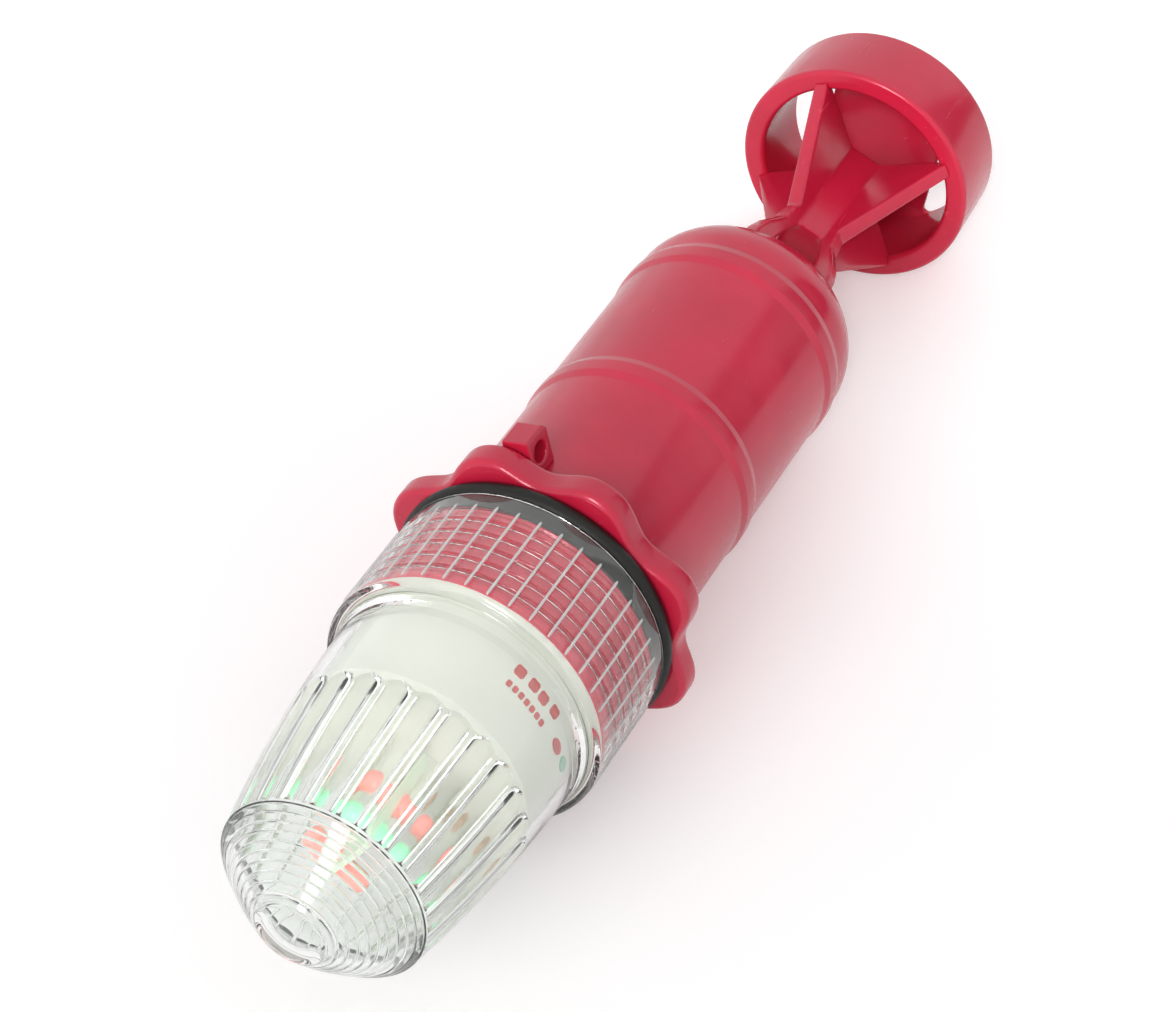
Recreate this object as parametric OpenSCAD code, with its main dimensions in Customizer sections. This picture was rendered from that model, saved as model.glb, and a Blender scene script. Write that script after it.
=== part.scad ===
// Flashing marker light for nets and buoys, lying on its side.
// The lens points towards -Y and the tail ring towards +Y. Z is up.
// The origin is on the light's axis, at the mouth of the tail ring.
// Inside the modules below the axis is Z, with Z = 0 at the front face of the
// lobed flange, the lens below it and the tail above it. place() lays it down.

/* [Cells] */
// Diameter of one cell
cell_d = 34.2; // [33:0.1:34.2]
// Length of one cell with its nub
cell_len = 61.5; // [59.5:0.5:61.5]
// Length of the spring behind the cells
spring_len = 12.6; // [10:0.2:16]

/* [Body] */
// Outer diameter of the body tube
body_d = 56; // [55:0.5:58]
// Wall thickness of the body tube
body_wall = 2.5; // [2:0.25:2.75]
// Radius of the rounded edge at the domed end
dome_corner = 16; // [14:0.5:18]
// Height of the two raised bands
band_rise = 0.6; // [0.4:0.1:0.9]
// Width of the two raised bands
band_w = 7.4; // [5:0.2:9]
// Thickness of the lobed flange
flange_t = 7; // [6:0.5:8]
// Number of lobes on the flange
lobe_count = 8; // [6:2:10]
// Diameter over the tips of the lobes
lobe_tip_d = 76; // [75:0.5:79]
// Diameter across the notches between the lobes
lobe_notch_d = 66.4; // [66:0.2:67.4]
// Length of the neck that the lens screws onto
neck_len = 31.5; // [29:0.5:33]
// Angle of the rope lug, from straight up towards +X
lug_angle = -14; // [-16:0.5:-12]

/* [Lens] */
// Length of the lens in front of the flange
lens_len = 106.4; // [102:0.2:112]
// Outer diameter of the lens at the foot of its dome
dome_base_d = 59; // [58.4:0.2:59.4]
// Outer diameter of the lens where the ringed tip starts
tip_base_d = 47; // [45:0.5:48]
// Diameter of the flat disc at the tip
tip_disc_d = 16.8; // [14:0.4:18]
// Wall thickness of the lens
lens_wall = 2; // [1.8:0.1:2.2]
// Outer diameter of the lens skirt, without its ribs
skirt_d = 65.4; // [65.2:0.1:66]
// Number of ribs round the skirt
skirt_ribs = 40; // [30:2:48]
// Number of flutes inside the dome
flute_count = 24; // [18:2:28]
// Number of steps on the ringed tip
tip_steps = 10; // [8:1:11]

/* [Tail] */
// Outer diameter of the tail ring
ring_d = 60.2; // [59:0.2:62]
// Bore of the tail ring
ring_bore_d = 49.2; // [48:0.2:50.6]
// Length of the tail ring
ring_len = 21; // [18:0.5:24]
// Distance from the domed end to the tail ring
yoke_len = 54.9; // [50:0.5:60]
// Width of the strap across the ring's mouth
strap_w = 29.4; // [27:0.2:31]
// Width of the square hub inside the ribs
hub_w = 13.4; // [12.4:0.2:14]
// Thickness of the four ribs
rib_t = 3.8; // [3.2:0.1:4.2]
// Angle of the first rib, from straight up towards +X
rib_angle = -22.5; // [-24:0.5:-21]

/* [Module] */
// Length of the white cup under the dome, from the neck's end to its deck
cup_len = 26; // [23:0.5:28]
// Height of the upright board above the cup's deck
board_h = 28; // [24:0.5:30]
// Width of the upright board
board_w = 30; // [26:0.5:32]
// Diameter of one LED
led_d = 5; // [4:0.5:5.5]

/* [Hidden] */
$fn = 96;

// Clearances
seat_gap = 0.1;     // between flat faces of two bodies that meet
slide_gap = 0.3;    // round what slides in the neck or screws over it
cell_gap = 0.3;     // round the cells
strip_gap = 0.35;   // behind the flat strip along the round wall
lug_gap = 0.05;     // between the lug and the round tube
bite = 0.5;         // how far an added rib or lug reaches into its wall

// Body
body_r = body_d / 2;
bore_r = body_r - body_wall;
cell_r = cell_d / 2;
nub_front = -20;
stack_end = nub_front + 2 * cell_len;
plate_t = 0.6;
inner_end = stack_end + spring_len + plate_t;
body_end = inner_end + body_wall;
neck_r = 29.4;
pilot_r = 30.7;
front_band_at = 72.7;   // from the domed end to the start of the front band
rear_band_at = 26.6;
band_slope = 2;         // length of each sloped side of a band
band_starts = [body_end - front_band_at, body_end - rear_band_at];
guide_t = 2;
key_w = 6;
key_r = bore_r + 1.1;
lug_w = 6.4;
lug_rise = 10;
lug_len = 8.6;
lug_hole_r = 2.5;
lug_hole_rise = lug_rise / 2;
lug_hole_at = 4.2;      // from the flange to the hole

// Sealing ring
o_ring_t = 4;
skirt_end = -o_ring_t - seat_gap;

// Lens
skirt_r = skirt_d / 2;
skirt_bore_r = pilot_r + slide_gap;
skirt_rib_h = 0.4;
cup_flange_t = 1.5;
shoulder_in = -neck_len - cup_flange_t - slide_gap;
shoulder_out = shoulder_in - 1.7;
dome_base_z = shoulder_out - 3;
tip_base_z = -lens_len + 12.6;
dome_base_r = dome_base_d / 2;
tip_base_r = tip_base_d / 2;
tip_disc_r = tip_disc_d / 2;
dome_bulge = 1.2;
flute_h = 0.8;
dome_points = 14;

// Tail
ring_start = body_end + yoke_len;
tail_end = ring_start + ring_len;
seat_len = 1.5;         // length of the ring in which the ribs stand
rib_far = ring_start + seat_len;
hub_start = body_end + 22.7;
hub_r = hub_w / sqrt(2);    // to the hub's edges, from which the ribs run
flat_r = body_r - dome_corner;  // of the flat end that the feet stand on
foot_r = flat_r + 4.6;
ring_bore_r = ring_bore_d / 2;
ring_r = ring_d / 2;
strap_t = 1.6;
strap_angle = 9;        // of the strap, from straight up towards +X

// Light module
cup_wall = 1.8;
cup_gap = 0.6;
deck_z = -neck_len - cup_len;
deck_t = 2;
board_t = 1.6;
board_back = nub_front - 3.4;
tub_end = board_back + 0.4;
socket_h = 5;
upright_t = 1.2;
upright_angle = 36;
led_r = led_d / 2;
led_h = 5.5;            // height of an LED's straight part
led_from_top = 5;       // from the board's edge to the outer row of LEDs
led_row_step = 9;
post_r = 2.8;
post_circle_r = bore_r - 8.5;
post_angles = [30, 150, 270];
sensor_r = 2.6;
sensor_at = 14;
contact_r = 6;
contact_ring_r = bore_r - 3.1;
contact_ring_w = 2;

// Lays the light down: Z becomes +Y, and the feature angle 0 points up
module place() translate([0, -tail_end, 0]) rotate([-90, 0, 0]) children();

// Turns local X to the feature angle a, measured from straight up towards +X
module at_angle(a) rotate([0, 0, a - 90]) children();

// A ring with a plain wall from z0 to z1
module tube(r_out, r_in, z0, z1)
    difference() {
        translate([0, 0, z0]) cylinder(r = r_out, h = z1 - z0);
        translate([0, 0, z0 - 1]) cylinder(r = r_in, h = z1 - z0 + 2);
    }

// A disc from z0 to z1
module disc(r, z0, z1) translate([0, 0, z0]) cylinder(r = r, h = z1 - z0);

// A bar from z0 to z1 whose far edge is rounded
module domed_bar(r, z0, z1, corner)
    rotate_extrude() intersection() {
        union() {
            translate([0, z0]) square([r, z1 - corner - z0]);
            translate([0, z0]) square([r - corner, z1 - z0]);
            translate([r - corner, z1 - corner]) circle(corner);
        }
        translate([0, z0]) square([r, z1 - z0]);
    }

// A raised band with bevelled sides, from z0, on the body tube
module band(z0)
    rotate_extrude() polygon([
        [body_r - bite, z0], [body_r, z0], [body_r + band_rise, z0 + band_slope],
        [body_r + band_rise, z0 + band_w - band_slope], [body_r, z0 + band_w], [body_r - bite, z0 + band_w]]);

// Radius of the flange at the feature angle a: a notch faces straight up
function lobe_r(a) =
    (lobe_tip_d + lobe_notch_d) / 4 - (lobe_tip_d - lobe_notch_d) / 4 * cos(lobe_count * a);

// The lobed flange, bevelled at the tips
module flange() {
    bevel = 1.4;
    tip_r = lobe_tip_d / 2;
    intersection() {
        linear_extrude(flange_t)
            polygon([for (a = [0:2.5:357.5]) lobe_r(a) * [sin(a), -cos(a)]]);
        rotate_extrude() polygon([
            [0, 0], [tip_r - bevel, 0], [tip_r, bevel], [tip_r, flange_t - bevel],
            [tip_r - bevel, flange_t], [0, flange_t]]);
    }
}

// The neck with its two pilot bands, which carry the lens
module neck()
    rotate_extrude() polygon([
        [0, -neck_len], [pilot_r, -neck_len], [pilot_r, -neck_len + 3], [neck_r, -neck_len + 4],
        [neck_r, -9], [pilot_r, -8], [pilot_r, -5], [neck_r, -4], [neck_r, 0], [0, 0]]);

// The lug behind the flange, with a hole for a cord across it
module rope_lug() color("crimson") place() difference() {
    lug_r = body_r + lug_rise;
    at_angle(lug_angle) difference() {
        translate([0, lug_w / 2, 0]) rotate([90, 0, 0]) linear_extrude(lug_w)
            polygon([
                [body_r - bite, flange_t], [lug_r, flange_t], [lug_r, flange_t + lug_len - 1.5],
                [lug_r - 1.5, flange_t + lug_len], [body_r - bite, flange_t + lug_len]]);
        translate([body_r + lug_hole_rise, 0, flange_t + lug_hole_at]) rotate([90, 0, 0])
            cylinder(r = lug_hole_r, h = lug_w + 2, center = true);
    }
    disc(body_r + lug_gap, flange_t - 1, flange_t + lug_len + 1);
}

// The four ribs along the bore that hold the cells on the axis
module cell_guides()
    for (a = [45, 135, 225, 315]) at_angle(a)
        translate([cell_r + cell_gap, -guide_t / 2, flange_t])
            cube([bore_r - cell_r - cell_gap + bite, guide_t, stack_end - 4 - flange_t]);

// Body tube with its bands and domed end, behind the flange
module body_shell() color("crimson") place() {
    difference() {
        union() {
            domed_bar(body_r, flange_t, body_end, dome_corner);
            for (z = band_starts) band(z);
        }
        domed_bar(bore_r, flange_t - 1, inner_end, dome_corner - body_wall);
    }
    cell_guides();
}

// Lobed flange and the neck in front of it
module neck_flange() color("crimson") place() difference() {
    union() {
        neck();
        flange();
    }
    disc(bore_r, -neck_len - 1, flange_t + 1);
    at_angle(-90) translate([bore_r - 2, -key_w / 2 - slide_gap, -neck_len - 1])
        cube([key_r + slide_gap - bore_r + 2, key_w + 2 * slide_gap, 9]);
}

// Outline of one rib and its foot, in radius and length
rib_outline = [
    [0, body_end], [flat_r + 1.6, body_end], [flat_r + 3.4, body_end - 0.25], [foot_r, body_end - 0.55],
    [foot_r - 0.5, body_end + 7.3], [foot_r - 1.9, body_end + 11.7], [hub_r + 1.9, body_end + 18.3],
    [hub_r + 0.8, hub_start + 3], [ring_bore_r + 2.4, ring_start], [ring_bore_r, ring_start],
    [ring_bore_r, rib_far], [0, rib_far]];

// Outline of the clear space inside the four feet
feet_arch = [
    [0, body_end - 1], [flat_r - 1.8, body_end - 1], [flat_r - 1.8, body_end + 7],
    [flat_r - 2.4, body_end + 12], [hub_r - 1.5, body_end + 18], [hub_r - 3.5, hub_start], [0, hub_start]];

// Square hub with a rib on each edge, and the four feet on the domed end
module tail_yoke() color("crimson") place() difference() {
    union() {
        intersection() {
            rotate_extrude() polygon(rib_outline);
            for (k = [0, 1]) at_angle(rib_angle + 90 * k)
                translate([-ring_r, -rib_t / 2, body_end - 1])
                    cube([2 * ring_r, rib_t, rib_far - body_end + 2]);
        }
        at_angle(rib_angle) translate([0, 0, hub_start])
            cylinder(h = rib_far - hub_start, r1 = hub_r - 0.8, r2 = hub_r, $fn = 4);
    }
    rotate_extrude() polygon(feet_arch);
}

// The ring at the tail
module tail_ring() color("crimson") place() difference() {
    rotate_extrude() polygon([
        [0, ring_start], [ring_r - 0.8, ring_start], [ring_r, ring_start + 0.8],
        [ring_r - 0.8, tail_end - 1.6], [ring_r - 1.6, tail_end], [0, tail_end]]);
    disc(ring_bore_r, ring_start - 1, tail_end + 1);
}

// The flat strap across the ring's mouth, which leaves a window on each side
module tail_strap() color("crimson") place() intersection() {
    disc(ring_bore_r, tail_end - strap_t, tail_end);
    at_angle(strap_angle) translate([-ring_r, -strap_w / 2, tail_end - strap_t - 1])
        cube([2 * ring_r, strap_w, strap_t + 2]);
}

// Rubber ring between the flange and the end of the skirt
module o_ring() color("black") place()
    rotate_extrude() translate([neck_r + o_ring_t / 2, -o_ring_t / 2]) circle(o_ring_t / 2, $fn = 48);

// Strip from the spring along the wall to the neck, bent in at both ends
module negative_strip() color("gold") place() at_angle(90) {
    strip_w = 5;
    strip_t = 0.4;
    r = bore_r - strip_gap;
    corner = dome_corner - body_wall - strip_gap;
    turn_z = inner_end - strip_gap - corner;
    front = board_back + 0.6;
    foot = inner_end - plate_t;
    translate([0, strip_w / 2, 0]) rotate([90, 0, 0]) linear_extrude(strip_w) {
        translate([r - 4.4, front]) square([4.4, strip_t]);
        translate([r - strip_t, front]) square([strip_t, turn_z - front]);
        intersection() {
            difference() {
                translate([r - corner, turn_z]) circle(corner);
                translate([r - corner, turn_z]) circle(corner - strip_t);
            }
            translate([r - corner, turn_z]) square([corner, foot - turn_z]);
        }
        translate([9.6, foot - strip_t]) square([r - corner + 3 - 9.6, strip_t]);
    }
}

// Plate under the wide end of the spring
module spring_plate() color("silver") place() disc(body_r - dome_corner - 0.4, inner_end - plate_t, inner_end);

// Conical spring: its narrow end on the rear cell, its wide end on the plate
wire_r = 0.6;
coil_turns = 4.5;
coil_steps = 20;
coil_sides = 8;
coil_n = coil_turns * coil_steps;
coil_z0 = stack_end + wire_r + 0.05;
coil_z1 = inner_end - plate_t - wire_r - 0.05;
function coil_point(t) =
    let (r = 4.6 + 3.6 * t, a = 360 * coil_turns * t)
    [r * cos(a), r * sin(a), coil_z0 + (coil_z1 - coil_z0) * t];
coil_gap = min([for (i = [0:coil_n - coil_steps])
    norm(coil_point(i / coil_n) - coil_point((i + coil_steps) / coil_n))]) - 2 * wire_r;
echo(str("least gap between two turns of the spring: ", coil_gap));

// A closed tube of coil_sides sides along coil_point()
module coil_tube() {
    rings = [for (i = [0:coil_n]) let (t = i / coil_n, p = coil_point(t), a = 360 * coil_turns * t)
        for (k = [0:coil_sides - 1]) let (b = 360 * k / coil_sides)
            p + wire_r * (cos(b) * [cos(a), sin(a), 0] + sin(b) * [0, 0, 1])];
    last = coil_n * coil_sides;
    polyhedron(
        points = rings,
        faces = concat(
            [[for (k = [0:coil_sides - 1]) k]],
            [[for (k = [coil_sides - 1:-1:0]) last + k]],
            [for (i = [0:coil_n - 1]) for (k = [0:coil_sides - 1]) for (half = [0, 1])
                let (j = i * coil_sides, m = (k + 1) % coil_sides)
                half == 0 ? [j + k, j + coil_sides + k, j + m]
                    : [j + m, j + coil_sides + k, j + coil_sides + m]]));
}
module battery_spring() color("silver") place() coil_tube();

// Can of one cell whose nub starts at z0, with the recess for its cap
nub_r = 4.9;
nub_h = 2;
cap_r = 12.6;
cap_t = 0.8;
can_edge = 0.8;
module cell_can(z0) rotate_extrude() polygon([
    [0, z0 + nub_h + cap_t], [cap_r + 0.2, z0 + nub_h + cap_t], [cap_r + 0.2, z0 + nub_h],
    [cell_r - 1, z0 + nub_h], [cell_r, z0 + nub_h + 1], [cell_r, z0 + cell_len - can_edge],
    [cell_r - can_edge, z0 + cell_len], [0, z0 + cell_len]]);

// Cap of the same cell: a plate with the nub on it
module cell_cap(z0) rotate_extrude() polygon([
    [0, z0], [nub_r - 0.5, z0], [nub_r, z0 + 0.5], [nub_r, z0 + nub_h], [cap_r, z0 + nub_h],
    [cap_r, z0 + nub_h + cap_t], [0, z0 + nub_h + cap_t]]);

module rear_cell() color("dimgray") place() cell_can(nub_front + cell_len);
module rear_cell_cap() color("silver") place() cell_cap(nub_front + cell_len);
module front_cell() color("dimgray") place() cell_can(nub_front);
module front_cell_cap() color("silver") place() cell_cap(nub_front);

// Outer radius of the lens dome at the height z, a cone with a slight bulge
function dome_r(z) =
    let (t = (dome_base_z - z) / (dome_base_z - tip_base_z))
    dome_base_r + (tip_base_r - dome_base_r) * t + 4 * dome_bulge * t * (1 - t);

// Outer edge of the cup, just inside the lens
function cup_r(z) = dome_r(z) - lens_wall - cup_gap;

// White cup: a tub in the neck, a flange on its end and a shade under the dome
module module_cup() color("ivory") place() {
    tub_r = bore_r - slide_gap;
    slot = [9, 3];
    difference() {
        union() {
            rotate_extrude() polygon([
                [0, tub_end], [tub_r, tub_end], [tub_r, -neck_len], [skirt_bore_r - 0.8, -neck_len],
                [skirt_bore_r - 0.8, -neck_len - cup_flange_t], [cup_r(dome_base_z), -neck_len - cup_flange_t],
                [cup_r(dome_base_z), dome_base_z], [cup_r(deck_z), deck_z + 1.2],
                [cup_r(deck_z) - 1.2, deck_z], [0, deck_z]]);
            at_angle(-90) translate([tub_r - 1, -key_w / 2, -neck_len - 0.2])
                cube([key_r - tub_r + 1, key_w, 7]);
        }
        difference() {
            rotate_extrude() polygon([
                [0, tub_end + 1], [tub_r - cup_wall, tub_end + 1], [tub_r - cup_wall, board_back - board_t],
                [tub_r - cup_wall - 1.2, board_back - board_t], [tub_r - cup_wall - 1.2, -neck_len - 2],
                [cup_r(deck_z) - cup_wall, deck_z + deck_t], [0, deck_z + deck_t]]);
            for (a = post_angles) at_angle(a) translate([post_circle_r, 0, deck_z])
                difference() {
                    cylinder(r = post_r, h = board_back - board_t - deck_z);
                    translate([0, 0, board_back - board_t - deck_z - 8]) cylinder(r = 1.2, h = 9);
                }
        }
        at_angle(upright_angle) translate([-slot[0] / 2, -slot[1] / 2, deck_z - 1])
            cube([slot[0], slot[1], deck_t + 2]);
    }
}

// Round board that closes the cup towards the cells
module driver_board() color("darkgreen") place() difference() {
    disc(bore_r - slide_gap - cup_wall - 0.2, board_back - board_t, board_back);
    for (a = post_angles) at_angle(a) translate([post_circle_r, 0, board_back - board_t - 1])
        cylinder(r = 1.4, h = board_t + 2);
}

// Centre contact that the nub of the front cell pushes on
module positive_contact() color("gold") place() rotate_extrude() polygon([
    [0, board_back], [contact_r, board_back], [contact_r, board_back + 0.8], [contact_r - 2, board_back + 2],
    [contact_r - 2.6, nub_front - seat_gap], [0, nub_front - seat_gap]]);

// Contact ring that meets the bent end of the strip
module negative_ring() color("gold") place()
    tube(contact_ring_r, contact_ring_r - contact_ring_w, board_back, board_back + 0.5);

// Screws that hold the round board to the cup
module board_screws() color("silver") place()
    for (a = post_angles) at_angle(a) translate([post_circle_r, 0, 0]) {
        disc(2.3, board_back, board_back + 1.5);
        disc(1.15, board_back - 8, board_back + 0.1);
    }

// Parts on the inner side of the round board
board_inner = board_back - board_t;
module power_coil() color("darkorange") place() translate([-9, 6, 0]) tube(5, 2.2, board_inner - 6, board_inner);
module storage_capacitor() color("navy") place() translate([9, 6, 0]) disc(4, board_inner - 11, board_inner);
module driver_chip() color("black") place()
    translate([-3.9, -14, board_inner - 1.75]) cube([7.8, 6, 1.75]);
module resistors() color("tan") place()
    for (p = [[-11, -12], [-8, -12], [11, -7], [14, -7]]) translate([p[0], p[1], board_inner - 0.8])
        cube([1.6, 3.2, 0.8]);

// Pins from the round board through the deck into the socket
module header_pins() color("gold") place() at_angle(upright_angle)
    for (x = [-3, -1, 1, 3]) translate([x, 0, 0]) disc(0.4, deck_z - 1.5, board_inner);

// Socket on the deck that holds the upright board
module board_socket() color("white") place() at_angle(upright_angle) difference() {
    translate([-8, -3, deck_z - socket_h]) cube([16, 6, socket_h]);
    translate([-9, -upright_t / 2, deck_z - socket_h - 1]) cube([18, upright_t, socket_h - 2 + 1]);
    for (x = [-3, -1, 1, 3]) translate([x, 0, deck_z - 3]) cylinder(r = 0.45, h = 4);
}

// Board that stands on the deck and carries the LEDs
module upright_board() color("seagreen") place() at_angle(upright_angle) rotate([90, 0, 0])
    translate([0, 0, -upright_t / 2]) linear_extrude(upright_t)
        polygon([
            [-7.9, deck_z - 2], [7.9, deck_z - 2], [7.9, deck_z - socket_h], [board_w / 2, deck_z - socket_h],
            [board_w / 2, deck_z - board_h + 3], [board_w / 2 - 3, deck_z - board_h],
            [3 - board_w / 2, deck_z - board_h], [-board_w / 2, deck_z - board_h + 3],
            [-board_w / 2, deck_z - socket_h], [-7.9, deck_z - socket_h]]);

// One LED on the upright board: at x along it and z up the light, on side 1 or -1
module led(x, z, side) translate([x, side * upright_t / 2, z]) rotate([-90 * side, 0, 0]) {
    cylinder(r = led_r + 0.4, h = 1);
    cylinder(r = led_r, h = led_h);
    translate([0, 0, led_h]) sphere(led_r, $fn = 32);
}
led_x = board_w / 4;
led_rows = [deck_z - board_h + led_from_top, deck_z - board_h + led_from_top + led_row_step];
module red_leds() color("red") place() at_angle(upright_angle)
    for (side = [-1, 1]) { led(-led_x, led_rows[0], side); led(led_x, led_rows[1], side); }
module green_leds() color("lime") place() at_angle(upright_angle)
    for (side = [-1, 1]) { led(led_x, led_rows[0], side); led(-led_x, led_rows[1], side); }

// Light sensor on the deck, which starts the flashing at dusk
module light_sensor() color("orange") place() at_angle(upright_angle + 90)
    translate([sensor_at, 0, 0]) disc(sensor_r, deck_z - 2.2, deck_z);

// Radius and height on the outside of the ringed tip at the share t
tip_z = -lens_len;
function tip_point(t) =
    [tip_base_r + (tip_disc_r - tip_base_r) * t + 3 * t * (1 - t), tip_base_z + (tip_z - tip_base_z) * t];

// Solid of the outside of the lens above the skirt
module lens_outside() rotate_extrude() polygon(concat(
    [[0, shoulder_in + 2], [skirt_r, shoulder_in + 2], [skirt_r, shoulder_out + 1], [skirt_r - 1, shoulder_out],
        [dome_base_r + 1.4, shoulder_out - 0.6], [dome_base_r + 0.4, shoulder_out - 1.4]],
    [for (i = [0:dome_points]) let (z = dome_base_z + (tip_base_z - dome_base_z) * i / dome_points)
        [dome_r(z), z]],
    [for (i = [0:tip_steps - 1]) for (edge = [0, 1])
        [tip_point(i / tip_steps)[0] - (edge == 0 ? 0.5 : 1.0), tip_point((i + edge) / tip_steps)[1]]],
    [[0, tip_z]]));

// Solid of the room inside the lens above the skirt
module lens_inside() rotate_extrude() polygon(concat(
    [[0, shoulder_in + 3], [skirt_bore_r, shoulder_in + 3], [skirt_bore_r, shoulder_in],
        [dome_r(dome_base_z) - lens_wall, shoulder_in]],
    [for (i = [0:dome_points]) let (z = dome_base_z + (tip_base_z + 1 - dome_base_z) * i / dome_points)
        [dome_r(z) - lens_wall, z]],
    [for (t = [0.1:0.15:1]) [tip_point(t)[0] - lens_wall, tip_point(t)[1] + lens_wall]],
    [[0, tip_z + lens_wall + 0.4]]));

// Flutes on the inside of the dome, from just above the cup to the ringed tip
module flutes() {
    top = deck_z - 1;
    end = tip_base_z + 2;
    n = 8;
    wide = 360 / flute_count / 2;
    side = [for (i = [0:n]) let (z = top + (end - top) * i / n) [dome_r(z) - lens_wall, z]];
    for (k = [0:flute_count - 1]) rotate([0, 0, 360 / flute_count * k])
        rotate_extrude(angle = wide) polygon(concat(
            [for (p = side) [p[0] + bite, p[1]]],
            [for (i = [n:-1:0]) [side[i][0] - (i == 0 || i == n ? 0 : flute_h), side[i][1]]]));
}

// Ring of the skirt with its ribs
module skirt() translate([0, 0, shoulder_in + 1]) linear_extrude(skirt_end - shoulder_in - 1)
    difference() {
        union() {
            circle(skirt_r);
            for (k = [0:skirt_ribs - 1]) rotate(360 / skirt_ribs * k)
                translate([0, -0.45]) square([skirt_r + skirt_rib_h, 0.9]);
        }
        circle(skirt_bore_r);
    }

// The screw-on lens: skirt, fluted dome and ringed tip in clear plastic
module lens() color("lightcyan", 0.4) place() {
    skirt();
    difference() {
        lens_outside();
        lens_inside();
    }
    flutes();
}

body_shell();
neck_flange();
rope_lug();
tail_yoke();
tail_ring();
tail_strap();
o_ring();
negative_strip();
spring_plate();
battery_spring();
rear_cell();
rear_cell_cap();
front_cell();
front_cell_cap();
module_cup();
driver_board();
positive_contact();
negative_ring();
board_screws();
power_coil();
storage_capacitor();
driver_chip();
resistors();
header_pins();
board_socket();
upright_board();
red_leds();
green_leds();
light_sensor();
lens();
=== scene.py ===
"""Blender scene of the flashing marker light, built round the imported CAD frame."""

import math

import bmesh
import bpy
import numpy as np
from mathutils import Matrix, Vector

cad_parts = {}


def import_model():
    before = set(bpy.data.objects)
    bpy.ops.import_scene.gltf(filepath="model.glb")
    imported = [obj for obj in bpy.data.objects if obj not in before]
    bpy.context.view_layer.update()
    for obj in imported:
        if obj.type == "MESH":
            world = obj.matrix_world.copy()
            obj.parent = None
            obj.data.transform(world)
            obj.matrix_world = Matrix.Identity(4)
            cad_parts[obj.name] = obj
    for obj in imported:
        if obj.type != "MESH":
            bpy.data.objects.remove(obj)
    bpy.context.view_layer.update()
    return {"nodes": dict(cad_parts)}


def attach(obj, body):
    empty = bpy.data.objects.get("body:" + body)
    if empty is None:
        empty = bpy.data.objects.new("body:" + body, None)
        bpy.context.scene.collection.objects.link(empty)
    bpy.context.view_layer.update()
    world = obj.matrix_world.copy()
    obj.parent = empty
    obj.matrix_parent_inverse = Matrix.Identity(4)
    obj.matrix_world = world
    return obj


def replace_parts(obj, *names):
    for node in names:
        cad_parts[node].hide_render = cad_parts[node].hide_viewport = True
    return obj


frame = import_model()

# Lengths below are in millimetres along the light's axis, from the flange's front
# face towards the tail, as in the CAD. spot() turns them into row metres.
MM = 0.001
TAIL_END = 194.6
BODY_R = 28.0
BORE_R = 25.5
BODY_END = 118.7
BODY_CORNER = 16.0
NECK_R = 29.4
PILOT_R = 30.7
LAND_R = PILOT_R - 0.3
NECK_END = -31.5
FLANGE_T = 7.0
LOBES = 8
LOBE_R = 38.0
LOBE_DEPTH = 4.8
LOBE_EDGE = 1.7
BAND_STARTS = (46.0, 92.1)
BAND_W = 7.4
BAND_RISE = 0.6
SKIRT_R = 32.7
SKIRT_BORE = 31.0
SKIRT_END = -4.1
SHOULDER_IN = -33.3
SHOULDER_OUT = -35.0
DOME_BASE = -38.0
DOME_BASE_R = 29.5
DOME_BULGE = 1.2
TIP_BASE = -93.8
TIP_BASE_R = 23.5
TIP_END = -106.4
TIP_END_R = 8.4
TIP_BULGE = 0.75
TIP_RINGS = 10
FLUTES = 24
FLUTE_DEPTH = 1.5
FLUTE_END = -91.9
GRIP_BARS = 40
LENS_WALL = 2.0
CUP_GAP = 0.6
RING_START = 173.6
RING_BORE = 24.6
STRAP_W = 30.6
STRAP_T = 1.6
STRAP_ANGLE = 9.0
RIB_ANGLE = -22.5
LUG_ANGLE = -14.0
LEAD = 4.0

scene = bpy.context.scene
nodes = frame["nodes"]


def spot(r, a, z):
    """Row point at radius r, feature angle a (0 up, towards +X) and length z."""
    t = math.radians(a)
    return (r * math.sin(t) * MM, (z - TAIL_END) * MM, r * math.cos(t) * MM)


# Materials


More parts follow.
